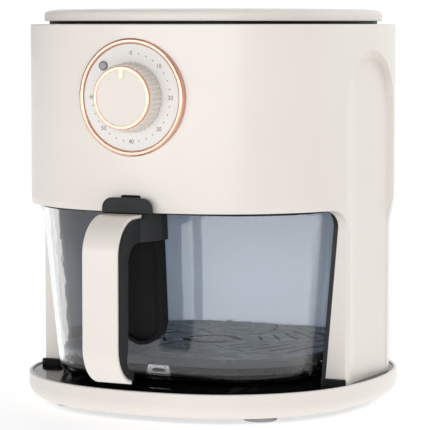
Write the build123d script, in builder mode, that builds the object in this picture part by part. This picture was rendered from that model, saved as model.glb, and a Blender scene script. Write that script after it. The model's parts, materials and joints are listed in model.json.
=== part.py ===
"""Air fryer with a glass pot: every casing, trim, working part and fastener as its own solid.

Millimetres, +Z up, the dial and the pot's handle facing -Y. The body's plan is a rounded
square (a squircle). The pieces are drawn about the body's own axis, and each is moved back
by body_y as it is written, so the part's origin is on the table, under the middle of the
whole outline with the handle.
"""
import math
import os

from build123d import *

os.makedirs("parts", exist_ok=True)

# ---------------------------------------------------------------- driving dimensions
# A squircle is eight tangent arcs. Its two radii are fractions of its half width.
BODY_SHAPE = (1.648, 0.843)      # rounder: casing, base, lid
POT_SHAPE = (4.32, 0.613)        # squarer: pot, crisper plate, heating chamber

# Heights of the main faces
foot_height = 4.4
base_top = 24.0
deck_top = 22.8
deck_thickness = 2.0
housing_bottom = 155.9
housing_top = 293.5
shell_split = 150.4              # joint between the upper housing and the rear column

# Half widths of the main plan outlines
base_half = 140.0
column_half = 133.8
body_half = 137.5
lid_half = 127.2
neck_half = 123.4
grille_half = 111.8              # air intake in the housing's top

wall = 2.6                       # moulded casing wall
flare_bottom = 137.4             # the column widens from here ...
flare_top = 160.4                # ... to here, into the upper housing

# Window in front of the pot
window_y = -40.8                 # plane of the column's two end faces
window_corner_y = 23.0           # reach of the window's rounded upper corners along y ...
window_corner_z = 15.0           # ... and down

# Arched recess in each side
recess_floor_x = 129.0
recess_plane_x = 132.6
recess_outer = (0.0, 46.0, 224.5, 275.2)     # centre y, half width, spring z, top z at recess_plane_x
recess_inner = (10.0, 31.0, 237.5, 267.2)    # the same on the recess floor

# Glass pot
pot_y = -1.5                     # the pot's centre, slightly forward of the body's
pot_bottom = 25.2
pot_top = 153.7
pot_top_half = 119.3
pot_taper = 0.085                # half width gained per mm of height
glass_wall = 3.0
glass_floor = 4.0

# Bay liner behind the pot: a rounded square, tapered like the pot
liner_top = 155.6
liner_half = 124.2
liner_corner = 97.8
liner_outer_half = 126.2
liner_outer_corner = 101.4
liner_split_y = 80.0             # black sides in front of this plane, pale panel behind it

# Handle
arm_top = 155.4
arm_bottom = 135.4
handle_front = -185.7
handle_foot = 32.6
cover_thickness = 2.8
cover_half = 14.35
cover_round = 0.8
core_half = 15.4
arm_flare_half = 21.0
core_rear = -170.7
top_bend = 28.0
foot_bend = 28.0

body_y = (-handle_front - base_half) / 2     # the body's axis in the part's frame

# Crisper plate
plate_half = 105.7
plate_top = 45.9
plate_thickness = 3.0
plate_skirt = 6.5

# Opening for the pot's latch tongue
latch_z = 164.3

# Exhaust grille and cord entry in the rear
vent_bottom = 178.2
vent_height = 35.6
vent_half = 41.8
gland_x = 62.0
gland_z = 42.0

# Timer dial
dial_z = 240.1
bezel_radius = 43.3
bezel_inner = 39.2
bezel_front = -138.3
dial_front = -137.0
knob_front = -152.6
mark_radius = 32.4
shaft_radius = 3.0
running_clearance = 0.05

# Heating chamber and fan
chamber_half = 112.0
chamber_bottom = 159.4
chamber_top = 206.0
shield_z = 211.0
motor_bottom = 222.0
motor_top = 254.0


# ---------------------------------------------------------------- outlines
def squircle(half, shape=BODY_SHAPE):
    """A filled squircle: four side arcs and four corner arcs, all tangent."""
    side_radius = shape[0] * half
    corner_radius = shape[1] * half
    side_centre = side_radius - half
    gap = side_radius - corner_radius
    corner_centre = (math.sqrt(2 * gap**2 - side_centre**2) - side_centre) / 2
    turn = math.degrees(math.atan2(corner_centre, corner_centre + side_centre))
    with BuildLine() as outline:
        for quarter in range(4):
            angle = 90 * quarter
            side = Vector(-side_centre, 0).rotate(Axis.Z, angle)
            corner = Vector(corner_centre, corner_centre).rotate(Axis.Z, angle)
            CenterArc(side, side_radius, angle - turn, 2 * turn)
            CenterArc(corner, corner_radius, angle + turn, 90 - 2 * turn)
    make_face(outline.edges())


def arch(centre, half_width, spring, top, foot):
    """A filled arch: straight legs up to the spring line, and half an ellipse above it."""
    with BuildLine() as outline:
        Line((centre + half_width, foot), (centre + half_width, spring))
        EllipticalCenterArc((centre, spring), half_width, top - spring, 0, arc_size=180)
        Line((centre - half_width, spring), (centre - half_width, foot))
        Line((centre - half_width, foot), (centre + half_width, foot))
    make_face(outline.edges())


def rounded_square(half, corner):
    """A filled square with large corner radii."""
    RectangleRounded(2 * half, 2 * half, corner)


def front_plane(y, z):
    """The plane at this y, centred at a height, facing the front."""
    return Plane(origin=(0, y, z), x_dir=(1, 0, 0), z_dir=(0, -1, 0))


def save(piece, name):
    """Move a finished piece into the part's frame, label it and write it as one STEP file."""
    placed = piece.part.moved(Location((0, body_y, 0)))
    placed.label = name
    export_step(placed, f"parts/{name}.step")


# ---------------------------------------------------------------- casing shapes used more than once
def recess_cutter(side):
    """The arched recess of one side (+1 or -1): it slopes in from its rim to a flat floor."""
    rim_x = body_half + 1.5
    rim_run = rim_x - recess_floor_x
    grow = rim_run / (recess_plane_x - recess_floor_x)
    rim = [inner + grow * (outer - inner) for inner, outer in zip(recess_inner, recess_outer)]
    top_grow = rim_run / (body_half - recess_floor_x)
    rim[3] = recess_inner[3] + top_grow * (recess_outer[3] - recess_inner[3])
    foot = -10.0
    with BuildPart() as cutter:
        with BuildSketch(Plane.YZ.offset(side * recess_floor_x)):
            arch(*recess_inner, foot)
        with BuildSketch(Plane.YZ.offset(side * rim_x)):
            arch(*rim, foot)
        loft(ruled=True)
    return cutter.part


def window_block(grow):
    """Everything in front of the window's plane and under the housing, grown by an amount."""
    far = -260
    centre_y = window_y - window_corner_y
    centre_z = housing_bottom - window_corner_z
    reach_y = window_corner_y + grow
    reach_z = window_corner_z + grow
    with BuildPart() as block:
        with BuildSketch(Plane.YZ):
            with BuildLine():
                Polyline((far, 0), (centre_y + reach_y, 0), (centre_y + reach_y, centre_z))
                EllipticalCenterArc((centre_y, centre_z), reach_y, reach_z, 0, arc_size=90)
                Polyline((centre_y, centre_z + reach_z), (far, centre_z + reach_z), (far, 0))
            make_face()
        extrude(amount=160, both=True)
        split(bisect_by=Plane.XY.offset(housing_bottom), keep=Keep.BOTTOM)
    return block.part


window = window_block(0)
window_frame = window_block(wall)

liner_drop = liner_top - deck_top
liner_shrink = liner_drop * pot_taper


def liner_block(half, corner):
    """The tapered block that a liner face follows."""
    with BuildPart() as block:
        with BuildSketch(Plane.XY.offset(deck_top)):
            rounded_square(half - liner_shrink, corner - liner_shrink)
        with BuildSketch(Plane.XY.offset(liner_top)):
            rounded_square(half, corner)
        loft(ruled=True)
    return block.part


liner_outside = liner_block(liner_outer_half, liner_outer_corner)
liner_inside = liner_block(liner_half, liner_corner)

# Outer form of the whole shell: column, flare and upper housing
flare_height = flare_top - flare_bottom
flare_steps = 5
with BuildPart() as shell_form:
    with BuildSketch(Plane.XY.offset(deck_top)):
        squircle(column_half)
    extrude(amount=flare_bottom - deck_top)
    for step in range(flare_steps):
        share = step / (flare_steps - 1)
        smooth = share * share * (3 - 2 * share)
        with BuildSketch(Plane.XY.offset(flare_bottom + share * flare_height)):
            squircle(column_half + smooth * (body_half - column_half))
    loft(ruled=True)
    with BuildSketch(Plane.XY.offset(flare_top)):
        squircle(body_half)
    extrude(amount=housing_top - flare_top)
    fillet(shell_form.faces().sort_by(Axis.Z)[-1].edges(), 1.2)
    for side in (-1, 1):
        add(recess_cutter(side), mode=Mode.SUBTRACT)

# Hollow of the shell. Flats beside the recesses keep the wall there
flat_x = recess_floor_x - wall
flat_half_y = 60.0


def shell_hollow(half, bottom, top):
    """The inside of a stretch of the shell."""
    with BuildPart() as hollow:
        with BuildSketch(Plane.XY.offset(bottom)):
            squircle(half)
            with Locations((flat_x + 20, 0), (-flat_x - 20, 0)):
                Rectangle(40, 2 * flat_half_y, mode=Mode.SUBTRACT)
        extrude(amount=top - bottom)
    return hollow.part


hollow_step = 152.4
housing_wall = wall + 1.2
column_hollow = shell_hollow(column_half - wall, deck_top - 1, hollow_step)
housing_hollow = shell_hollow(body_half - housing_wall, hollow_step, housing_top - wall)

# The way the pot slides out: a little wider than its rim seal, with the same taper
path_half = pot_top_half + 1.9
path_foot_half = path_half - (liner_top - deck_top) * pot_taper
with BuildPart() as pot_path:
    with BuildSketch(Plane.XZ):
        with BuildLine():
            Polyline(
                (path_half, liner_top + 1), (path_foot_half, deck_top - 1),
                (-path_foot_half, deck_top - 1), (-path_half, liner_top + 1), close=True,
            )
        make_face()
    extrude(amount=150, both=True)

# The column's end faces close the gap between the outer wall and the liner
end_web = (shell_form.part & window_frame) - liner_outside - pot_path.part
hollow_shell = shell_form.part - column_hollow - housing_hollow + end_web
open_shell = hollow_shell - window

# Openings of the upper housing
with BuildPart() as housing_openings:
    with BuildSketch(Plane.XZ.offset(100)):
        with Locations((0, dial_z)):
            Circle(bezel_radius)
    extrude(amount=60)
    with BuildSketch(Plane.XZ.offset(100)):
        with Locations((0, latch_z)):
            RectangleRounded(16, 8.6, 1.5)
    extrude(amount=60)
    with BuildSketch(Plane.XZ.offset(-160)):
        with Locations((0, vent_bottom + vent_height / 2)):
            RectangleRounded(2 * vent_half + 0.4, vent_height + 0.4, 4)
    extrude(amount=50)
    with BuildSketch(Plane.XY.offset(housing_top - 5)):
        squircle(grille_half + 0.2)
    extrude(amount=10)
    with BuildSketch(Plane.XZ.offset(-160)):
        with Locations((gland_x, gland_z)):
            Circle(8)
    extrude(amount=50)

finished_shell = open_shell - housing_openings.part

# ---------------------------------------------------------------- casing
with BuildPart() as upper_housing:
    add(finished_shell)
    split(bisect_by=Plane.XY.offset(shell_split), keep=Keep.TOP)
save(upper_housing, "upper_housing")

with BuildPart() as rear_column:
    add(finished_shell)
    split(bisect_by=Plane.XY.offset(shell_split), keep=Keep.BOTTOM)
save(rear_column, "rear_column")

# Bay liner, cut off at the window and parted near the rear corners
liner = liner_outside - (liner_inside & pot_path.part) - window
with BuildPart() as bay_liner_sides:
    add(liner)
    split(bisect_by=Plane.XZ.offset(-liner_split_y), keep=Keep.TOP)
for name, keep in (("bay_liner_left", Keep.BOTTOM), ("bay_liner_right", Keep.TOP)):
    with BuildPart() as bay_liner:
        add(bay_liner_sides.part)
        split(bisect_by=Plane.YZ, keep=keep)
    save(bay_liner, name)

with BuildPart() as bay_rear_panel:
    add(liner)
    split(bisect_by=Plane.XZ.offset(-liner_split_y), keep=Keep.BOTTOM)
save(bay_rear_panel, "bay_rear_panel")

# Black frame that closes the housing's underside around the heating chamber
frame_bottom = 156.5
frame_inset = 0.4
with BuildPart() as bottom_frame:
    add(shell_hollow(body_half - housing_wall - frame_inset, frame_bottom, chamber_bottom))
    with BuildSketch(Plane.XY.offset(frame_bottom)):
        with Locations((flat_x, 0), (-flat_x, 0)):
            Rectangle(2 * frame_inset, 2 * flat_half_y)
    extrude(amount=chamber_bottom - frame_bottom, mode=Mode.SUBTRACT)
    with BuildSketch(Plane.XY.offset(frame_bottom)):
        squircle(chamber_half - 3, POT_SHAPE)
    extrude(amount=chamber_bottom - frame_bottom, mode=Mode.SUBTRACT)
save(bottom_frame, "bottom_frame")

# Lid: a crowned plate on a narrower neck, with the air intake below it
lid_bottom = 295.8
lid_edge = 300.5
lid_top = 305.0
with BuildPart() as top_cover:
    with BuildSketch(Plane.XY.offset(lid_bottom)):
        squircle(lid_half)
    extrude(amount=lid_edge - lid_bottom)
    crown = ((0.0, 0.0), (0.6, 2.1), (3.4, 3.4), (8.6, 4.2), (15.0, lid_top - lid_edge))
    for inset, rise in crown:
        with BuildSketch(Plane.XY.offset(lid_edge + rise)):
            squircle(lid_half - inset)
    loft(ruled=True)
    fillet(top_cover.faces().sort_by(Axis.Z)[0].edges(), 1.0)
    with BuildSketch(Plane.XY.offset(lid_bottom)):
        squircle(neck_half - 8)
    extrude(amount=lid_edge + 1 - lid_bottom, mode=Mode.SUBTRACT)
save(top_cover, "top_cover")

with BuildPart() as intake_neck:
    with BuildSketch(Plane.XY.offset(housing_top)):
        squircle(neck_half)
    extrude(amount=lid_bottom - housing_top)
    with BuildSketch(Plane.XY.offset(housing_top)):
        squircle(neck_half - 6)
    extrude(amount=lid_bottom - housing_top, mode=Mode.SUBTRACT)
save(intake_neck, "intake_neck")

with BuildPart() as intake_grille:
    with BuildSketch(Plane.XY.offset(housing_top - 1.8)):
        squircle(grille_half)
        with PolarLocations(40, 12):
            SlotOverall(22, 5, mode=Mode.SUBTRACT)
        with PolarLocations(70, 20):
            SlotOverall(26, 5, mode=Mode.SUBTRACT)
    extrude(amount=1.8)
save(intake_grille, "intake_grille")

# ---------------------------------------------------------------- base
ring_bottom = foot_height
ring_pocket = deck_top - deck_thickness
with BuildPart() as base_ring:
    with BuildSketch(Plane.XY.offset(ring_bottom)):
        squircle(base_half)
    extrude(amount=base_top - ring_bottom)
    fillet(base_ring.faces().sort_by(Axis.Z)[0].edges(), 11)
    with BuildSketch(Plane.XY.offset(ring_pocket)):
        squircle(base_half - 2.6)
    extrude(amount=base_top - ring_pocket, mode=Mode.SUBTRACT)
    with BuildSketch(Plane.XY.offset(ring_bottom + 3)):
        squircle(base_half - 8)
    extrude(amount=ring_pocket - ring_bottom, mode=Mode.SUBTRACT)
    with BuildSketch(Plane.XY.offset(ring_bottom)):
        squircle(base_half - 14)
    extrude(amount=4, mode=Mode.SUBTRACT)
    fillet(base_ring.faces().sort_by(Axis.Z)[-1].edges(), 0.9)
save(base_ring, "base_ring")

with BuildPart() as base_deck:
    with BuildSketch(Plane.XY.offset(ring_pocket)):
        squircle(base_half - 2.8)
    extrude(amount=deck_thickness)
save(base_deck, "base_deck")

foot_places = [(x, y) for x in (-80, 80) for y in (-85, 85)]
screw_places = [(x, y) for x in (-102, 0, 102) for y in (-62, 62)]
base_plate_thickness = 3.0
with BuildPart() as base_bottom:
    with BuildSketch(Plane.XY.offset(ring_bottom)):
        squircle(base_half - 14.2)
        with Locations(*screw_places):
            Circle(2.2, mode=Mode.SUBTRACT)
    extrude(amount=base_plate_thickness)
save(base_bottom, "base_bottom")

with BuildPart() as base_screws:
    with BuildSketch(Plane.XY.offset(ring_bottom - 1.6)):
        with Locations(*screw_places):
            Circle(3.6)
    extrude(amount=1.6)
    with BuildSketch(Plane.XY.offset(ring_bottom)):
        with Locations(*screw_places):
            Circle(1.9)
    extrude(amount=ring_pocket - ring_bottom)
save(base_screws, "base_screws")

with BuildPart() as feet:
    with BuildSketch(Plane.XY):
        with Locations(*foot_places):
            Circle(13)
    extrude(amount=foot_height)
    fillet(feet.faces().group_by(Axis.Z)[0].edges(), 1.5)
save(feet, "feet")

# Two runners under the pot, and a stop block at the foot of each end face of the column
with BuildPart() as slide_rails:
    with BuildSketch(Plane.XY.offset(deck_top)):
        with Locations((-66, -8), (66, -8)):
            SlotOverall(190, 6, rotation=90)
    extrude(amount=1.1)
save(slide_rails, "slide_rails")

block_height = 4.8
for side, name in ((-1, "guide_block_left"), (1, "guide_block_right")):
    with BuildPart() as guide_block:
        with BuildSketch(Plane.XY.offset(deck_top)):
            with BuildLine():
                Polyline(
                    (side * 114.2, window_y - 0.2),
                    (side * 114.2, window_y - 7),
                    (side * 127.0, window_y - 7),
                    (side * 131.4, window_y - 3.2),
                    (side * 130.6, window_y - 0.2),
                    close=True,
                )
            make_face()
        extrude(amount=block_height)
        chamfer(guide_block.faces().sort_by(Axis.Z)[-1].edges(), 0.8)
    save(guide_block, name)

# ---------------------------------------------------------------- dial and timer
def dial_plane(y):
    """The plane at this y, centred on the dial, facing the front."""
    return front_plane(y, dial_z)


with BuildPart() as dial_bezel:
    with BuildSketch(dial_plane(-129.8)):
        Circle(bezel_radius - 0.1)
        Circle(bezel_inner, mode=Mode.SUBTRACT)
    extrude(amount=-129.8 - bezel_front)
    fillet(dial_bezel.faces().sort_by(Axis.Y)[0].edges(), 1.4)
save(dial_bezel, "dial_bezel")

lamp_angle = math.radians(135)
lamp_place = (mark_radius * math.cos(lamp_angle), mark_radius * math.sin(lamp_angle))
with BuildPart() as dial_plate:
    with BuildSketch(dial_plane(dial_front + 3)):
        Circle(bezel_inner - 0.1)
        Circle(4.2, mode=Mode.SUBTRACT)
        with Locations(lamp_place):
            Circle(3.1, mode=Mode.SUBTRACT)
    extrude(amount=3)
save(dial_plate, "dial_plate")

with BuildPart() as indicator_lens:
    with BuildSketch(dial_plane(dial_front + 3)):
        with Locations(lamp_place):
            Circle(3.0)
    extrude(amount=3)
    with BuildSketch(dial_plane(dial_front)):
        with Locations(lamp_place):
            Circle(3.6)
    extrude(amount=1.5)
    fillet(indicator_lens.faces().sort_by(Axis.Y)[0].edges(), 1.2)
save(indicator_lens, "indicator_lens")

with BuildPart() as indicator_lamp:
    with BuildSketch(dial_plane(dial_front + 17)):
        with Locations(lamp_place):
            Circle(2.6)
    extrude(amount=13.6)
    fillet(indicator_lamp.faces().sort_by(Axis.Y)[0].edges(), 2.0)
save(indicator_lamp, "indicator_lamp")

skirt_back = dial_front - 0.4
skirt_front = -150.6
flutes = 42


def fluted_circle(radius):
    """A circle with shallow round flutes all round its edge."""
    Circle(radius)
    with PolarLocations(radius + 0.45, flutes):
        Circle(1.5, mode=Mode.SUBTRACT)


with BuildPart() as knob_skirt:
    with BuildSketch(dial_plane(skirt_back)):
        fluted_circle(25.8)
    with BuildSketch(dial_plane(skirt_front)):
        fluted_circle(24.4)
    loft(ruled=True)
    with BuildSketch(dial_plane(skirt_back)):
        Circle(20.5)
    extrude(amount=11, mode=Mode.SUBTRACT)
    with BuildSketch(dial_plane(skirt_back)):
        Circle(6.5)
    extrude(amount=skirt_back - skirt_front)
    with BuildSketch(dial_plane(skirt_back)):
        Circle(shaft_radius)
    extrude(amount=10, mode=Mode.SUBTRACT)
save(knob_skirt, "knob_skirt")

cap_radius = 20.6
ring_radius = 23.1
with BuildPart() as knob_ring:
    with BuildSketch(dial_plane(skirt_front)):
        Circle(ring_radius)
        Circle(cap_radius, mode=Mode.SUBTRACT)
        with Locations((0, cap_radius - 2.8)):
            SlotOverall(8.4, 3.6, rotation=90)
    extrude(amount=skirt_front - knob_front)
    fillet(knob_ring.faces().sort_by(Axis.Y)[0].edges().sort_by(SortBy.LENGTH)[-1], 0.6)
save(knob_ring, "knob_ring")

with BuildPart() as knob_cap:
    with BuildSketch(dial_plane(skirt_front)):
        Circle(cap_radius - 0.05)
        with Locations((0, cap_radius - 2.8)):
            SlotOverall(8.5, 3.7, rotation=90, mode=Mode.SUBTRACT)
    extrude(amount=skirt_front - knob_front - 0.4)
save(knob_cap, "knob_cap")

timer_front = dial_front + 3.4
timer_back = -101.0
with BuildPart() as timer_shaft:
    with BuildSketch(dial_plane(-108)):
        Circle(shaft_radius)
    extrude(amount=-108 - (skirt_back - 9.5))
save(timer_shaft, "timer_shaft")

with BuildPart() as timer_unit:
    with BuildSketch(dial_plane(timer_back)):
        RectangleRounded(52, 46, 4)
    extrude(amount=timer_back - timer_front)
    with BuildSketch(dial_plane(timer_front)):
        Circle(shaft_radius + running_clearance)
    extrude(amount=-27, mode=Mode.SUBTRACT)
    with BuildSketch(dial_plane(timer_front)):
        with Locations(lamp_place):
            Circle(4)
    extrude(amount=-40, mode=Mode.SUBTRACT)
save(timer_unit, "timer_unit")

with BuildPart() as timer_bell:
    with BuildSketch(dial_plane(timer_back + 9)):
        Circle(19)
    extrude(amount=8.6)
    fillet(timer_bell.faces().sort_by(Axis.Y)[-1].edges(), 5)
save(timer_bell, "timer_bell")

# ---------------------------------------------------------------- safety switch behind the pot's tongue
with BuildPart() as latch_insert:
    with BuildSketch(front_plane(-134.4, latch_z)):
        RectangleRounded(15.9, 8.5, 1.4)
        with Locations((0, -1.5)):
            Rectangle(12.4, 4.6, mode=Mode.SUBTRACT)
    extrude(amount=4.0)
save(latch_insert, "latch_insert")

tongue_z = latch_z - 1.5
with BuildPart() as interlock_tongue:
    with BuildSketch(front_plane(-133.2, tongue_z)):
        Rectangle(11.2, 3.4)
    extrude(amount=8.3)
    chamfer(interlock_tongue.faces().sort_by(Axis.Y)[-1].edges(), 0.8)
save(interlock_tongue, "interlock_tongue")

switch_y = -126.0
with BuildPart() as microswitch:
    with BuildSketch(front_plane(switch_y + 10, tongue_z + 0.6)):
        RectangleRounded(22, 5.4, 1)
    extrude(amount=10)
    with BuildSketch(front_plane(switch_y, tongue_z)):
        Circle(1.6)
    extrude(amount=-8, mode=Mode.SUBTRACT)
save(microswitch, "microswitch")

with BuildPart() as interlock_plunger:
    with BuildSketch(front_plane(-120, tongue_z)):
        Circle(1.55)
    extrude(amount=12.6)
save(interlock_plunger, "interlock_plunger")

# ---------------------------------------------------------------- exhaust, cord entry
with BuildPart() as exhaust_grille:
    with BuildSketch(Plane.XY.offset(vent_bottom)):
        squircle(body_half - 0.3)
    extrude(amount=vent_height)
    with BuildSketch(Plane.XY.offset(vent_bottom)):
        squircle(body_half - 3.4)
    extrude(amount=vent_height, mode=Mode.SUBTRACT)
    with BuildSketch(Plane.XZ.offset(-100)):
        with Locations((0, vent_bottom + vent_height / 2)):
            RectangleRounded(2 * vent_half, vent_height, 3.8)
    extrude(amount=-60, mode=Mode.INTERSECT)
    with BuildSketch(Plane.XZ.offset(-100)):
        with Locations((0, vent_bottom + vent_height / 2)):
            with GridLocations(25, 6, 3, 5):
                SlotOverall(21, 3)
    extrude(amount=-60, mode=Mode.SUBTRACT)
save(exhaust_grille, "exhaust_grille")

duct_back = 128.0
duct_half = 38.0
duct_bottom = 184.0
duct_top = 203.0
duct_height = duct_top - duct_bottom
duct_wall = 1.2
with BuildPart() as exhaust_duct:
    with BuildSketch(Plane.XZ.offset(-chamber_half - 0.4)):
        with Locations((0, (duct_bottom + duct_top) / 2)):
            RectangleRounded(2 * duct_half, duct_height, 3)
            RectangleRounded(
                2 * (duct_half - duct_wall), duct_height - 2 * duct_wall, 2, mode=Mode.SUBTRACT,
            )
    extrude(amount=-(duct_back - chamber_half))
save(exhaust_duct, "exhaust_duct")

gland_back = 131.0
gland_length = 13.5
gland_plane = Plane(origin=(gland_x, gland_back, gland_z), x_dir=(-1, 0, 0), z_dir=(0, 1, 0))
with BuildPart() as cord_gland:
    with BuildSketch(gland_plane):
        Circle(7.9)
    extrude(amount=-gland_length)
    with BuildSketch(gland_plane):
        Circle(3.6)
    extrude(amount=-gland_length, mode=Mode.SUBTRACT)
    fillet(cord_gland.faces().sort_by(Axis.Y)[-1].edges(), 1.0)
save(cord_gland, "cord_gland")

# ---------------------------------------------------------------- heating chamber, motor and fans
sheet = 1.0
heater_radius = 78.0
terminal_angle = math.radians(12)
terminal_x = -heater_radius * math.cos(terminal_angle)
terminal_y = heater_radius * math.sin(terminal_angle)
terminal_places = [(terminal_x, -terminal_y), (terminal_x, terminal_y)]

with BuildPart() as chamber_space:
    with BuildSketch(Plane.XY.offset(chamber_bottom)):
        squircle(chamber_half - sheet, POT_SHAPE)
    extrude(amount=chamber_top - chamber_bottom - sheet)
    fillet(chamber_space.faces().sort_by(Axis.Z)[-1].edges(), 5)

with BuildPart() as chamber_liner:
    with BuildSketch(Plane.XY.offset(chamber_bottom)):
        squircle(chamber_half, POT_SHAPE)
    extrude(amount=chamber_top - chamber_bottom)
    fillet(chamber_liner.faces().sort_by(Axis.Z)[-1].edges(), 6)
    add(chamber_space.part, mode=Mode.SUBTRACT)
    with BuildSketch(Plane.XY.offset(chamber_bottom)):
        Circle(8)
        with Locations(*terminal_places):
            Circle(5)
    extrude(amount=60, mode=Mode.SUBTRACT)
    with BuildSketch(Plane.XZ.offset(-90)):
        with Locations((0, (duct_bottom + duct_top) / 2)):
            Rectangle(2 * duct_half - 8, duct_height - 6)
    extrude(amount=-40, mode=Mode.SUBTRACT)
save(chamber_liner, "chamber_liner")

guard_z = 166.0
with BuildPart() as heater_guard:
    with BuildSketch(Plane.XY.offset(guard_z)):
        squircle(chamber_half - sheet - 0.2, POT_SHAPE)
    extrude(amount=1.6)
    with BuildSketch(Plane.XY.offset(guard_z)):
        squircle(chamber_half - sheet - 4.2, POT_SHAPE)
    extrude(amount=1.6, mode=Mode.SUBTRACT)
    with BuildSketch(Plane.XY.offset(guard_z)):
        for radius in (18, 34, 50, 66, 82, 98):
            Circle(radius + 1.1)
            Circle(radius - 1.1, mode=Mode.SUBTRACT)
        with PolarLocations(0, 4, angular_range=180):
            Rectangle(2 * (chamber_half - 3), 2.2)
    extrude(amount=1.6)
save(heater_guard, "heater_guard")

heater_z = 182.0
tube_radius = 3.2
link_radius = 2.4
inner_heater_radius = 52.0
with BuildPart() as heating_element:
    for radius in (inner_heater_radius, heater_radius):
        with BuildSketch(Plane.XZ):
            with Locations((radius, heater_z)):
                Circle(tube_radius)
        revolve(axis=Axis.Z)
    with BuildSketch(Plane.YZ.offset(inner_heater_radius)):
        with Locations((0, heater_z)):
            Circle(link_radius)
    extrude(amount=heater_radius - inner_heater_radius)
    with BuildSketch(Plane.XY.offset(heater_z)):
        with Locations(*terminal_places):
            Circle(link_radius)
    extrude(amount=36)
save(heating_element, "heating_element")

with BuildPart() as heat_shield:
    with BuildSketch(Plane.XY.offset(shield_z)):
        squircle(116)
        with Locations((0, -96)):
            Rectangle(62, 60, mode=Mode.SUBTRACT)
        Circle(8, mode=Mode.SUBTRACT)
        with Locations(*terminal_places):
            Circle(5, mode=Mode.SUBTRACT)
    extrude(amount=sheet)
save(heat_shield, "heat_shield")

bracket_deck = motor_bottom - 2
leg_places = [(x, y) for x in (-40, 40) for y in (-40, 40)]
with BuildPart() as motor_bracket:
    with BuildSketch(Plane.XY.offset(bracket_deck)):
        RectangleRounded(96, 96, 12)
        Circle(9, mode=Mode.SUBTRACT)
    extrude(amount=2)
    with BuildSketch(Plane.XY.offset(shield_z + sheet)):
        with Locations(*leg_places):
            Circle(4.5)
    extrude(amount=bracket_deck - shield_z - sheet)
save(motor_bracket, "motor_bracket")

with BuildPart() as fan_motor:
    with BuildSketch(Plane.XY.offset(motor_bottom)):
        Circle(31)
    extrude(amount=motor_top - motor_bottom)
    fillet(fan_motor.faces().sort_by(Axis.Z)[-1].edges(), 3)
    with BuildSketch(Plane.XY.offset(motor_bottom)):
        Circle(shaft_radius + running_clearance)
    extrude(amount=motor_top - motor_bottom, mode=Mode.SUBTRACT)
save(fan_motor, "fan_motor")

fan_bottom = 190.0
fan_top = 201.0
cooler_bottom = 262.0
cooler_top = 274.0
with BuildPart() as fan_shaft:
    with BuildSketch(Plane.XY.offset(fan_bottom - 3)):
        Circle(shaft_radius)
    extrude(amount=cooler_top + 2 - fan_bottom + 3)
save(fan_shaft, "fan_shaft")


def fan(bottom, top, radius, blades, hub_radius):
    """A flat fan: a hub, a thin back plate and straight radial blades."""
    with BuildPart() as wheel:
        with BuildSketch(Plane.XY.offset(top - 1.2)):
            Circle(radius)
        extrude(amount=1.2)
        with BuildSketch(Plane.XY.offset(bottom)):
            with PolarLocations((radius + hub_radius) / 2 - 1, blades):
                Rectangle(radius - hub_radius, 1.6)
        extrude(amount=top - bottom)
        with BuildSketch(Plane.XY.offset(bottom)):
            Circle(hub_radius)
        extrude(amount=top - bottom)
        with BuildSketch(Plane.XY.offset(bottom)):
            Circle(shaft_radius)
        extrude(amount=top - bottom, mode=Mode.SUBTRACT)
    return wheel


convection_fan = fan(fan_bottom, fan_top, 66, 10, 12)
save(convection_fan, "convection_fan")
cooling_fan = fan(cooler_bottom, cooler_top, 54, 9, 11)
save(cooling_fan, "cooling_fan")

with BuildPart() as thermostat:
    with BuildSketch(Plane.XY.offset(shield_z + sheet)):
        with Locations((70, 40)):
            Circle(8)
    extrude(amount=7)
    with BuildSketch(Plane.XY.offset(shield_z + sheet + 7)):
        with Locations((64, 40), (76, 40)):
            Rectangle(5, 0.8)
    extrude(amount=8)
save(thermostat, "thermostat")

with BuildPart() as thermal_fuse:
    with BuildSketch(Plane.YZ.offset(60)):
        with Locations((-40, shield_z + sheet + 3)):
            Circle(2.5)
    extrude(amount=18)
save(thermal_fuse, "thermal_fuse")

with BuildPart() as terminal_block:
    with BuildSketch(Plane.XY.offset(shield_z + sheet)):
        with Locations((-30, 88)):
            RectangleRounded(44, 18, 2)
    extrude(amount=14)
    with BuildSketch(Plane.XY.offset(shield_z + sheet + 14)):
        with Locations((-30, 88)):
            with GridLocations(13, 8, 3, 2):
                Circle(2.6)
    extrude(amount=-6, mode=Mode.SUBTRACT)
save(terminal_block, "terminal_block")

# ---------------------------------------------------------------- pot
def pot_half(z):
    """Half width of the pot's outside at a height."""
    return pot_top_half - (pot_top - z) * pot_taper


def pot_plane(z):
    """A level plane at this height, centred on the pot."""
    return Plane(origin=(0, pot_y, z), z_dir=(0, 0, 1))


def pot_block(bottom, top, inset, bottom_radius):
    """The pot's tapered form between two heights, drawn in by an inset, with a rounded bottom."""
    with BuildPart() as block:
        with BuildSketch(pot_plane(bottom)):
            squircle(pot_half(bottom) - inset, POT_SHAPE)
        with BuildSketch(pot_plane(top)):
            squircle(pot_half(top) - inset, POT_SHAPE)
        loft(ruled=True)
        if bottom_radius:
            fillet(block.faces().sort_by(Axis.Z)[0].edges(), bottom_radius)
    return block.part


pot_outside = pot_block(pot_bottom, pot_top, 0, 7)
pot_inside = pot_block(pot_bottom + glass_floor, pot_top + 1, glass_wall, 6)
with BuildPart() as glass_pot:
    add(pot_outside)
    add(pot_inside, mode=Mode.SUBTRACT)
save(glass_pot, "glass_pot")

seal_height = 1.2
with BuildPart() as pot_rim_seal:
    with BuildSketch(pot_plane(pot_top)):
        squircle(pot_top_half + 0.3, POT_SHAPE)
    extrude(amount=seal_height)
    with BuildSketch(pot_plane(pot_top)):
        squircle(pot_top_half - glass_wall - 0.3, POT_SHAPE)
    extrude(amount=seal_height, mode=Mode.SUBTRACT)
save(pot_rim_seal, "pot_rim_seal")

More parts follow.
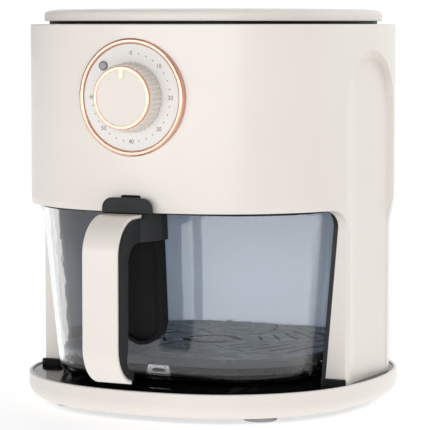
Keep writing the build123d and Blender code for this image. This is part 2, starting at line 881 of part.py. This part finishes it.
with BuildPart() as pot_pads:
    with BuildSketch(pot_plane(pot_bottom - 0.9)):
        with GridLocations(132, 132, 2, 2):
            Circle(7)
    extrude(amount=0.9)
save(pot_pads, "pot_pads")

# ---------------------------------------------------------------- handle, drawn in the plane x = 0
curl = 78.0
curl_end = math.radians(180 + curl)
top_y = handle_front + top_bend
top_z = arm_top - top_bend
foot_y = handle_front + foot_bend
foot_z = handle_foot + foot_bend
cover_back = handle_front + cover_thickness
cover_under = arm_top - cover_thickness
inner_top_bend = top_bend - cover_thickness
inner_foot_bend = foot_bend - cover_thickness


def on_curl(radius):
    """The point where the curl at the handle's foot ends, at a distance from its centre."""
    return (foot_y + radius * math.cos(curl_end), foot_z + radius * math.sin(curl_end))


cover_start = -147.5
with BuildPart() as handle_cover:
    with BuildSketch(Plane.YZ):
        with BuildLine():
            Line((cover_start, arm_top), (top_y, arm_top))
            CenterArc((top_y, top_z), top_bend, 90, 90)
            Line((handle_front, top_z), (handle_front, foot_z))
            CenterArc((foot_y, foot_z), foot_bend, 180, curl)
            Line(on_curl(foot_bend), on_curl(inner_foot_bend))
            CenterArc((foot_y, foot_z), inner_foot_bend, 180, curl)
            Line((cover_back, foot_z), (cover_back, top_z))
            CenterArc((top_y, top_z), inner_top_bend, 90, 90)
            Line((top_y, cover_under), (cover_start, cover_under))
            Line((cover_start, cover_under), (cover_start, arm_top))
        make_face()
    extrude(amount=cover_half, both=True)
    fillet(handle_cover.faces().filter_by(Axis.X).edges(), cover_round)
save(handle_cover, "handle_cover")

# The core carries the load: an arm from the mount, a grip, and a tapering curl at the foot
grip_bend = 15.0
grip_foot = 66.0
arm_root = -112.0
core_tip = on_curl(inner_foot_bend - 5)
with BuildPart() as handle_core:
    with BuildSketch(Plane.YZ):
        with BuildLine():
            Line((arm_root, arm_top), (cover_start, arm_top))
            Line((cover_start, arm_top), (cover_start, cover_under))
            Line((cover_start, cover_under), (top_y, cover_under))
            CenterArc((top_y, top_z), inner_top_bend, 90, 90)
            Line((cover_back, top_z), (cover_back, foot_z))
            CenterArc((foot_y, foot_z), inner_foot_bend, 180, curl)
            Line(on_curl(inner_foot_bend), core_tip)
            Spline(
                core_tip, (core_rear - 1.2, 47.5), (core_rear, grip_foot),
                tangents=((-1, 0.25), (0, 1)),
            )
            Line((core_rear, grip_foot), (core_rear, arm_bottom - grip_bend))
            CenterArc((core_rear + grip_bend, arm_bottom - grip_bend), grip_bend, 180, -90)
            Line((core_rear + grip_bend, arm_bottom), (arm_root, arm_bottom))
            Line((arm_root, arm_bottom), (arm_root, arm_top))
        make_face()
    extrude(amount=arm_flare_half, both=True)
    with BuildSketch(Plane.XY.offset(handle_foot - 5)):
        with BuildLine():
            Polyline(
                (-core_half, handle_front - 5), (-core_half, -152), (-arm_flare_half, -128),
                (-arm_flare_half, arm_root), (arm_flare_half, arm_root), (arm_flare_half, -128),
                (core_half, -152), (core_half, handle_front - 5), close=True,
            )
        make_face()
    extrude(amount=arm_top - handle_foot + 10, mode=Mode.INTERSECT)
    add(pot_outside, mode=Mode.SUBTRACT)
    with BuildSketch(pot_plane(pot_top - 1)):
        squircle(pot_top_half + 0.4, POT_SHAPE)
    extrude(amount=10, mode=Mode.SUBTRACT)
save(handle_core, "handle_core")

shield_front = -145.6
shield_back = -141.6
with BuildPart() as handle_shield:
    with BuildSketch(front_plane(shield_back, arm_top)):
        with BuildLine():
            Polyline((-20.2, 3.6), (-20.2, 0), (20.2, 0), (20.2, 3.6))
            CenterArc((12.2, 3.6), 8, 0, 90)
            Line((12.2, 11.6), (-12.2, 11.6))
            CenterArc((-12.2, 3.6), 8, 90, 90)
        make_face()
    extrude(amount=shield_back - shield_front)
    fillet(handle_shield.faces().sort_by(Axis.Y)[0].edges(), 0.8)
save(handle_shield, "handle_shield")

# Mount plate on the glass, leaning with it, with a hollow for the fingers
mount_half = 18.4
mount_top = arm_bottom - 0.2
mount_foot = 57.0
mount_depth = 9.5
lean = math.atan(pot_taper)
mount_mid = (mount_top + mount_foot) / 2
glass_mid = pot_y - pot_half(mount_mid)
mount_plane = Plane(
    origin=(0, glass_mid, mount_mid), x_dir=(1, 0, 0), z_dir=(0, -math.cos(lean), -math.sin(lean)),
)
mount_height = (mount_top - mount_foot) / math.cos(lean)
top_edge = mount_height / 2
foot_edge = -mount_height / 2 + mount_half


def mount_outline(inset, top_inset):
    """A tab with a round foot, drawn in from the plate's own outline."""
    half = mount_half - inset
    with BuildLine() as outline:
        Line((half, foot_edge), (half, top_edge - top_inset))
        Line((half, top_edge - top_inset), (-half, top_edge - top_inset))
        Line((-half, top_edge - top_inset), (-half, foot_edge))
        CenterArc((0, foot_edge), half, 180, 180)
    make_face(outline.edges())


hollow_radius = 22.0
hollow_depth = 6.4
with BuildPart() as finger_hollow:
    with BuildSketch(mount_plane.offset(mount_depth - hollow_depth)):
        mount_outline(2.6, 5)
    extrude(amount=hollow_depth + 1)
    hollow_centre = mount_depth + hollow_radius - hollow_depth
    hollow_axis = Plane(
        origin=mount_plane.from_local_coords((0, -mount_height, hollow_centre)),
        x_dir=(1, 0, 0), z_dir=mount_plane.y_dir,
    )
    with BuildSketch(hollow_axis):
        Circle(hollow_radius)
    extrude(amount=2 * mount_height, mode=Mode.INTERSECT)

# Screw heads moulded in under the hollow's floor
screw_plane = mount_plane.offset(0.8)
with BuildPart() as handle_screws:
    with BuildSketch(screw_plane):
        with Locations((0, top_edge - 20), (0, foot_edge + 4)):
            Circle(3.4)
    extrude(amount=1.6)
save(handle_screws, "handle_screws")

with BuildPart() as handle_mount:
    with BuildSketch(mount_plane.offset(-8)):
        mount_outline(0, 0)
    extrude(amount=mount_depth + 8)
    add(pot_outside, mode=Mode.SUBTRACT)
    add(handle_core.part, mode=Mode.SUBTRACT)
    add(finger_hollow.part, mode=Mode.SUBTRACT)
    add(handle_screws.part, mode=Mode.SUBTRACT)
save(handle_mount, "handle_mount")

# ---------------------------------------------------------------- crisper plate
petals = 6
swirl = 5.0 / 13                 # degrees that a petal's edge turns per mm of radius
groove_points = [
    Vector(radius, 0).rotate(Axis.Z, swirl * (radius - 38)) for radius in (28, 64, 100)
]
petal_edge = ThreePointArc(*groove_points)
with BuildPart() as crisper_plate:
    with BuildSketch(pot_plane(plate_top - plate_skirt)):
        squircle(plate_half - 1.4, POT_SHAPE)
    with BuildSketch(pot_plane(plate_top - 1.5)):
        squircle(plate_half, POT_SHAPE)
    loft(ruled=True)
    with BuildSketch(pot_plane(plate_top - 1.5)):
        squircle(plate_half, POT_SHAPE)
    with BuildSketch(pot_plane(plate_top)):
        squircle(plate_half - 1.2, POT_SHAPE)
    loft(ruled=True)
    with BuildSketch(pot_plane(plate_top - plate_skirt)):
        squircle(plate_half - 4.5, POT_SHAPE)
    extrude(amount=plate_skirt - plate_thickness, mode=Mode.SUBTRACT)
    with BuildSketch(pot_plane(plate_top)):
        Circle(24)
        Circle(15, mode=Mode.SUBTRACT)
        with PolarLocations(20, 2, start_angle=0):
            Rectangle(14, 8, mode=Mode.SUBTRACT)
        for radius in (38, 51, 64, 77, 90):
            with PolarLocations(radius, petals, start_angle=30 + swirl * (radius - 38)):
                SlotOverall(0.62 * radius, 2.6, rotation=90)
    extrude(amount=-plate_thickness, mode=Mode.SUBTRACT)
    with BuildSketch(pot_plane(plate_top)):
        with PolarLocations(0, petals):
            SlotArc(petal_edge, 1.8)
    extrude(amount=-1.2, mode=Mode.SUBTRACT)
save(crisper_plate, "crisper_plate")

clip_top = plate_top - plate_thickness
clip_bottom = pot_bottom + glass_floor + 0.3
clip_distance = 88.0
with BuildPart() as plate_feet:
    for quarter in range(4):
        outward = Vector(0, -1, 0).rotate(Axis.Z, 90 * quarter)
        across = Vector(1, 0, 0).rotate(Axis.Z, 90 * quarter)
        place = Vector(0, pot_y, 0) + outward * clip_distance
        with BuildSketch(Plane(origin=place, x_dir=across, z_dir=outward)):
            with BuildLine():
                Polyline(
                    (-6, clip_top), (-10.5, clip_bottom + 2.6), (-8.5, clip_bottom),
                    (8.5, clip_bottom), (10.5, clip_bottom + 2.6), (6, clip_top), close=True,
                )
            make_face()
            with Locations((0, clip_bottom + 4.0)):
                SlotOverall(11, 3, mode=Mode.SUBTRACT)
        extrude(amount=4)
save(plate_feet, "plate_feet")
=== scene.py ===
"""The looks of an air fryer with a glass pot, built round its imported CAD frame.

Everything is in metres, in the part's own frame: the dial and the handle face -Y and +Z is up.
"""
import math

import bmesh
import bpy
from mathutils import Matrix, Vector
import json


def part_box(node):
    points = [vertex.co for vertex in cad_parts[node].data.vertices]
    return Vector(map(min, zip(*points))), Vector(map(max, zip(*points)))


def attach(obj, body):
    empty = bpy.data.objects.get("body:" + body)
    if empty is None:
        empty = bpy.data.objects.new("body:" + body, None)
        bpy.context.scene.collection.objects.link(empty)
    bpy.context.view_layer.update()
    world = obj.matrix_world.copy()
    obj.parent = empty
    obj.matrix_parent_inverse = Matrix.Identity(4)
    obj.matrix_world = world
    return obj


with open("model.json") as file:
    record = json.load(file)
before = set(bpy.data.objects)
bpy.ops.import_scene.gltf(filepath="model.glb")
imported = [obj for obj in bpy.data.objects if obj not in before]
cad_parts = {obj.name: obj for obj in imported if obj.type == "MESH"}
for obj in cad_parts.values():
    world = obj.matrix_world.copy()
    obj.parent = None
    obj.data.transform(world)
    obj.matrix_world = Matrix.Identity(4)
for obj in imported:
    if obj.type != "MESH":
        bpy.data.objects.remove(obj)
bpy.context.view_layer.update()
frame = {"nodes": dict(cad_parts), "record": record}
nodes = frame["nodes"]

# ---------------------------------------------------------------- places that several pieces share
BODY_Y = 0.02285                 # the body's vertical axis
dial_low, dial_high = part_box("dial_plate")
DIAL_Z = (dial_low.z + dial_high.z) / 2
DIAL_FACE_Y = dial_low.y

# Marks on the dial
MARK_RADIUS = 0.0324
DIGIT_SIZE = 0.0045
NUMBER_STEP = 45                 # degrees from one number to the next
NUMBER_COUNT = 7
DOTS_BETWEEN = 3
DOT_RADIUS = 0.00052
DOT_TOP_RADIUS = 0.00048
INK_THICKNESS = 0.00006

# Camera
CAMERA_AZIMUTH = 26.3            # degrees to the right of the front
CAMERA_DISTANCE = 1.802          # from the body's axis
CAMERA_HEIGHT = 0.2935
CAMERA_PITCH = 4.752             # degrees down
CAMERA_YAW = 0.022               # degrees to the right
LENS = 192.3                     # mm, on a sensor 36 mm wide


# ---------------------------------------------------------------- materials
def new_material(name):
    """An empty node material with a Principled shader, and the shader."""
    material = bpy.data.materials.new(name)
    material.use_nodes = True
    tree = material.node_tree
    tree.nodes.clear()
    output = tree.nodes.new("ShaderNodeOutputMaterial")
    shader = tree.nodes.new("ShaderNodeBsdfPrincipled")
    tree.links.new(shader.outputs["BSDF"], output.inputs["Surface"])
    return material, shader


def noise(tree, scale, detail=3.0, roughness=0.5, stretch=(1, 1, 1)):
    """Noise in object space, in waves per metre, with an optional stretch along each axis."""
    where = tree.nodes.new("ShaderNodeTexCoord")
    mapping = tree.nodes.new("ShaderNodeMapping")
    mapping.inputs["Scale"].default_value = stretch
    texture = tree.nodes.new("ShaderNodeTexNoise")
    texture.inputs["Scale"].default_value = scale
    texture.inputs["Detail"].default_value = detail
    texture.inputs["Roughness"].default_value = roughness
    tree.links.new(where.outputs["Object"], mapping.inputs["Vector"])
    tree.links.new(mapping.outputs["Vector"], texture.inputs["Vector"])
    return texture.outputs["Fac"]


def spread(tree, value, low, high):
    """A value from 0.3..0.7, which is where noise mostly lies, spread to low..high."""
    ramp = tree.nodes.new("ShaderNodeMapRange")
    ramp.inputs["From Min"].default_value = 0.3
    ramp.inputs["From Max"].default_value = 0.7
    ramp.inputs["To Min"].default_value = low
    ramp.inputs["To Max"].default_value = high
    tree.links.new(value, ramp.inputs["Value"])
    return ramp.outputs["Result"]


def blend_colours(tree, value, dark, light):
    """A colour that wanders between dark and light with a value."""
    ramp = tree.nodes.new("ShaderNodeValToRGB")
    ramp.color_ramp.elements[0].position = 0.3
    ramp.color_ramp.elements[0].color = (*dark, 1)
    ramp.color_ramp.elements[1].position = 0.7
    ramp.color_ramp.elements[1].color = (*light, 1)
    tree.links.new(value, ramp.inputs["Fac"])
    return ramp.outputs["Color"]


def bump(tree, shader, value, distance, strength=1.0, edge=0.0):
    """A bump on the shader's normal, over softened edges if edge is a radius."""
    node = tree.nodes.new("ShaderNodeBump")
    node.inputs["Strength"].default_value = strength
    node.inputs["Distance"].default_value = distance
    tree.links.new(value, node.inputs["Height"])
    if edge:
        bevel = tree.nodes.new("ShaderNodeBevel")
        bevel.samples = 4
        bevel.inputs["Radius"].default_value = edge
        tree.links.new(bevel.outputs["Normal"], node.inputs["Normal"])
    tree.links.new(node.outputs["Normal"], shader.inputs["Normal"])


def plastic(
    name, dark, light, gloss, grain=0.00002, grain_scale=2600, edge=0.0, coat=0.0, shine=0.5,
    cloud_scale=9,
):
    """Moulded plastic: a slight cloudiness, uneven gloss and a fine grain."""
    material, shader = new_material(name)
    tree = material.node_tree
    cloud = noise(tree, cloud_scale, 4)
    fine = noise(tree, grain_scale, 2)
    tree.links.new(blend_colours(tree, cloud, dark, light), shader.inputs["Base Color"])
    tree.links.new(spread(tree, noise(tree, 60, 5), *gloss), shader.inputs["Roughness"])
    shader.inputs["Specular IOR Level"].default_value = shine
    shader.inputs["Coat Weight"].default_value = coat
    shader.inputs["Coat Roughness"].default_value = 0.12
    bump(tree, shader, fine, grain, edge=edge)
    return material


def metal(name, dark, light, gloss, scale=400, stretch=(1, 1, 1), depth=0.00001, edge=0.0):
    """Bare or plated metal with fine scratches along one direction."""
    material, shader = new_material(name)
    tree = material.node_tree
    scratch = noise(tree, scale, 6, 0.7, stretch)
    tree.links.new(blend_colours(tree, scratch, dark, light), shader.inputs["Base Color"])
    tree.links.new(spread(tree, scratch, *gloss), shader.inputs["Roughness"])
    shader.inputs["Metallic"].default_value = 1.0
    bump(tree, shader, scratch, depth, edge=edge)
    return material


def clear_glass(name, tint, gloss):
    """Pressed glass: clear, with the faint waviness of moulding. Light reaches what is inside it."""
    material, shader = new_material(name)
    tree = material.node_tree
    output = next(node for node in tree.nodes if node.type == "OUTPUT_MATERIAL")
    path = tree.nodes.new("ShaderNodeLightPath")
    open_way = tree.nodes.new("ShaderNodeBsdfTransparent")
    open_way.inputs["Color"].default_value = (0.99, 0.995, 1.0, 1)
    either = tree.nodes.new("ShaderNodeMath")
    either.operation = "MAXIMUM"
    tree.links.new(path.outputs["Is Shadow Ray"], either.inputs[0])
    tree.links.new(path.outputs["Is Diffuse Ray"], either.inputs[1])
    mix = tree.nodes.new("ShaderNodeMixShader")
    tree.links.new(either.outputs["Value"], mix.inputs["Fac"])
    tree.links.new(shader.outputs["BSDF"], mix.inputs[1])
    tree.links.new(open_way.outputs["BSDF"], mix.inputs[2])
    tree.links.new(mix.outputs["Shader"], output.inputs["Surface"])
    shader.inputs["Base Color"].default_value = (*tint, 1)
    shader.inputs["Transmission Weight"].default_value = 1.0
    shader.inputs["IOR"].default_value = 1.47
    shader.inputs["Specular IOR Level"].default_value = 0.22
    tree.links.new(spread(tree, noise(tree, 30, 3), *gloss), shader.inputs["Roughness"])
    bump(tree, shader, noise(tree, 14, 2), 0.000006)
    return material


cream = plastic("cream_casing", (0.79, 0.735, 0.685), (0.815, 0.76, 0.71), (0.30, 0.38), coat=0.25)
cream_trim = plastic(
    "cream_trim", (0.79, 0.735, 0.685), (0.815, 0.76, 0.71), (0.30, 0.38),
    edge=0.0006, coat=0.25,
)
cream_knob = plastic(
    "cream_knob", (0.76, 0.71, 0.65), (0.79, 0.735, 0.68), (0.32, 0.42),
    edge=0.0003,
)
deck_black = plastic(
    "black_gloss", (0.004, 0.004, 0.005), (0.007, 0.007, 0.008), (0.08, 0.13),
    grain=0.000002, shine=0.08,
)
liner_black = plastic(
    "liner_black", (0.014, 0.015, 0.017), (0.020, 0.021, 0.024), (0.30, 0.40),
    grain=0.000003, shine=0.3,
)
pale_panel = plastic("pale_panel", (0.69, 0.81, 1.0), (0.72, 0.84, 1.0), (0.5, 0.6), grain=0.000004)
matt_black = plastic(
    "black_plastic", (0.010, 0.010, 0.011), (0.018, 0.018, 0.020), (0.38, 0.52),
    grain=0.00003, grain_scale=1500, shine=0.06,
)
charcoal = plastic(
    "handle_grey", (0.012, 0.013, 0.014), (0.020, 0.021, 0.023), (0.30, 0.42),
    grain=0.00002, edge=0.0008, shine=0.25,
)
rubber = plastic(
    "rubber", (0.012, 0.012, 0.012), (0.022, 0.022, 0.022), (0.62, 0.8),
    grain=0.00008, grain_scale=1200,
)
foot_grey = plastic(
    "foot_grey", (0.30, 0.30, 0.31), (0.36, 0.36, 0.37), (0.5, 0.65),
    grain=0.00005, grain_scale=1200,
)
dial_grey = plastic(
    "dial_face", (0.76, 0.735, 0.71), (0.80, 0.775, 0.75), (0.36, 0.46),
    grain=0.00001, grain_scale=3200,
)
lens_grey = plastic(
    "lens", (0.16, 0.16, 0.165), (0.22, 0.22, 0.225), (0.08, 0.14),
    grain=0.000002, coat=0.6,
)
white_plastic = plastic("white_plastic", (0.60, 0.60, 0.59), (0.66, 0.66, 0.65), (0.35, 0.5))
rose = metal(
    "rose_metal", (0.70, 0.38, 0.29), (0.80, 0.46, 0.36), (0.16, 0.26),
    scale=700, stretch=(1, 4, 1), edge=0.0003,
)
steel = metal(
    "steel", (0.45, 0.45, 0.46), (0.60, 0.60, 0.61), (0.22, 0.36),
    scale=500, stretch=(1, 8, 1),
)
sheet_metal = metal(
    "sheet_metal", (0.50, 0.51, 0.52), (0.68, 0.69, 0.70), (0.28, 0.42),
    scale=260, stretch=(1, 10, 1),
)
glass = clear_glass("pot_glass", (0.982, 0.99, 1.0), (0.0, 0.004))


def nonstick_coating():
    """Grey non-stick coating with fine pale flecks."""
    material, shader = new_material("nonstick")
    tree = material.node_tree
    flecks = tree.nodes.new("ShaderNodeTexVoronoi")
    flecks.inputs["Scale"].default_value = 900
    where = tree.nodes.new("ShaderNodeTexCoord")
    tree.links.new(where.outputs["Object"], flecks.inputs["Vector"])
    ramp = tree.nodes.new("ShaderNodeValToRGB")
    ramp.color_ramp.elements[0].position = 0.05
    ramp.color_ramp.elements[0].color = (0.26, 0.27, 0.29, 1)
    ramp.color_ramp.elements[1].position = 0.16
    ramp.color_ramp.elements[1].color = (0.095, 0.100, 0.108, 1)
    tree.links.new(flecks.outputs["Distance"], ramp.inputs["Fac"])
    tree.links.new(ramp.outputs["Color"], shader.inputs["Base Color"])
    tree.links.new(spread(tree, noise(tree, 80, 5), 0.24, 0.38), shader.inputs["Roughness"])
    shader.inputs["Metallic"].default_value = 0.35
    bump(tree, shader, noise(tree, 1400, 3), 0.00004)
    return material


nonstick = nonstick_coating()

SLOT_MATERIALS = {
    "cream_casing": cream,
    "black_gloss": deck_black,
    "pale_panel": pale_panel,
    "black_plastic": matt_black,
    "handle_grey": charcoal,
    "pot_glass": glass,
    "rose_metal": rose,
    "dial_face": dial_grey,
    "lens": lens_grey,
    "nonstick": nonstick,
    "steel": steel,
    "sheet_metal": sheet_metal,
    "rubber": rubber,
    "white_plastic": white_plastic,
    "tongue_plastic": matt_black,
}
NODE_MATERIALS = {
    "top_cover": cream_trim,
    "base_ring": cream_trim,
    "handle_cover": cream_trim,
    "feet": foot_grey,
    "handle_screws": matt_black,
    "knob_skirt": cream_knob,
    "knob_cap": cream_knob,
    "bay_liner_left": liner_black,
    "bay_liner_right": liner_black,
}


def dress(node, material):
    """Give a CAD node its material, in every slot it has."""
    mesh = nodes[node].data
    if not mesh.materials:
        mesh.materials.append(material)
    for index in range(len(mesh.materials)):
        mesh.materials[index] = material


for entry in frame["record"]["subparts"]:
    dress(entry["node"], SLOT_MATERIALS[entry["material_slot"]])
for node, material in NODE_MATERIALS.items():
    dress(node, material)

# ---------------------------------------------------------------- dial marks
ink = plastic(
    "dial_ink", (0.20, 0.17, 0.155), (0.25, 0.215, 0.20), (0.45, 0.6),
    grain=0.00001, cloud_scale=300,
)


def dial_point(angle, radius, lift=0.0):
    """A point on the dial's face: angle clockwise from the top, in degrees, seen from the front."""
    turn = math.radians(angle)
    return Vector((radius * math.sin(turn), DIAL_FACE_Y - lift, DIAL_Z + radius * math.cos(turn)))


def dial_digits():
    """Upright minutes clockwise from 0 at the top, in tens, to 60 at the upper left."""
    for step in range(NUMBER_COUNT):
        curve = bpy.data.curves.new(f"minutes_{step * 10}", "FONT")
        curve.body = str(step * 10)
        curve.size = DIGIT_SIZE
        curve.align_x = "CENTER"
        curve.align_y = "CENTER"
        curve.extrude = INK_THICKNESS
        curve.materials.append(ink)
        digits = bpy.data.objects.new(f"minutes_{step * 10}", curve)
        bpy.context.scene.collection.objects.link(digits)
        digits.location = dial_point(NUMBER_STEP * step, MARK_RADIUS, INK_THICKNESS)
        digits.rotation_euler = (math.radians(90), 0, 0)
        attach(digits, "housing")


def dial_dots():
    """Three dots between each pair of numbers."""
    mesh = bpy.data.meshes.new("minute_dots")
    shape = bmesh.new()
    dot_step = NUMBER_STEP / (DOTS_BETWEEN + 1)
    for step in range(NUMBER_COUNT - 1):
        for part in range(1, DOTS_BETWEEN + 1):
            angle = NUMBER_STEP * step + dot_step * part
            centre = dial_point(angle, MARK_RADIUS, INK_THICKNESS / 2)
            place = Matrix.Translation(centre) @ Matrix.Rotation(math.radians(90), 4, "X")
            bmesh.ops.create_cone(
                shape, cap_ends=True, segments=20, radius1=DOT_RADIUS, radius2=DOT_TOP_RADIUS,
                depth=INK_THICKNESS, matrix=place,
            )
    shape.to_mesh(mesh)
    shape.free()
    mesh.materials.append(ink)
    dots = bpy.data.objects.new("minute_dots", mesh)
    bpy.context.scene.collection.objects.link(dots)
    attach(dots, "housing")


dial_digits()
dial_dots()

# ---------------------------------------------------------------- floor, lights and camera
def stage_floor():
    """A wide pale floor."""
    material, shader = new_material("floor")
    tree = material.node_tree
    colour = blend_colours(tree, noise(tree, 3, 2), (0.42, 0.42, 0.42), (0.44, 0.44, 0.44))
    tree.links.new(colour, shader.inputs["Base Color"])
    shader.inputs["Roughness"].default_value = 0.7
    shader.inputs["Emission Color"].default_value = (1, 1, 1, 1)
    shader.inputs["Emission Strength"].default_value = 0.71
    mesh = bpy.data.meshes.new("floor")
    reach = 14.0
    corners = [(-reach, -reach, 0), (reach, -reach, 0), (reach, reach, 0), (-reach, reach, 0)]
    mesh.from_pydata(corners, [], [(0, 1, 2, 3)])
    mesh.materials.append(material)
    floor = bpy.data.objects.new("floor", mesh)
    bpy.context.scene.collection.objects.link(floor)


def area_light(name, place, target, size, power):
    """A soft box at a place, facing a target."""
    light = bpy.data.lights.new(name, "AREA")
    light.shape = "RECTANGLE"
    light.size, light.size_y = size
    light.energy = power
    lamp = bpy.data.objects.new(name, light)
    bpy.context.scene.collection.objects.link(lamp)
    lamp.location = place
    lamp.rotation_euler = (Vector(target) - Vector(place)).to_track_quat("-Z", "Y").to_euler()


# Brightness of the studio's walls by azimuth in degrees, 0 in front and 90 on the right
SURROUNDINGS = (
    (-90, 0.12),
    (-50, 0.22),
    (-15, 0.60),
    (20, 0.56),
    (45, 0.32),
    (95, 0.34),
    (112, 1.5),
    (130, 1.5),
    (142, 1.0),
    (212, 1.0),
    (228, 0.45),
    (250, 0.16),
    (270, 0.12),
)


def studio():
    """Pale walls, dim at the left and right, with a broad low soft box in front."""
    world = bpy.data.worlds.new("studio")
    bpy.context.scene.world = world
    world.use_nodes = True
    tree = world.node_tree
    background = tree.nodes["Background"]
    background.inputs["Strength"].default_value = 1.08
    where = tree.nodes.new("ShaderNodeTexCoord")
    around = tree.nodes.new("ShaderNodeTexGradient")
    around.gradient_type = "RADIAL"
    tree.links.new(where.outputs["Generated"], around.inputs["Vector"])
    ramp = tree.nodes.new("ShaderNodeValToRGB")
    tree.links.new(around.outputs["Fac"], ramp.inputs["Fac"])
    tree.links.new(ramp.outputs["Color"], background.inputs["Color"])
    stops = ramp.color_ramp.elements
    while len(stops) > 1:
        stops.remove(stops[0])
    for index, (azimuth, level) in enumerate(SURROUNDINGS):
        place = (azimuth + 90) / 360
        stop = stops[0] if index == 0 else stops.new(place)
        stop.position = place
        stop.color = (level, level, level, 1)
    middle = (0, BODY_Y, 0.16)
    area_light("front_box", (0.1, -2.4, 0.4), middle, (3.4, 0.9), 23)


def set_camera():
    """A long lens at the height of the housing's top, a little to the right of the front."""
    azimuth = math.radians(CAMERA_AZIMUTH)
    side = CAMERA_DISTANCE * math.sin(azimuth)
    ahead = BODY_Y - CAMERA_DISTANCE * math.cos(azimuth)
    pitch = math.radians(90 - CAMERA_PITCH)
    data = bpy.data.cameras.new("camera")
    data.sensor_width = 36.0
    data.lens = LENS
    camera = bpy.data.objects.new("camera", data)
    bpy.context.scene.collection.objects.link(camera)
    camera.location = (side, ahead, CAMERA_HEIGHT)
    camera.rotation_euler = (pitch, 0, azimuth - math.radians(CAMERA_YAW))
    bpy.context.scene.camera = camera


stage_floor()
studio()
set_camera()
bpy.context.scene.view_settings.view_transform = "Standard"
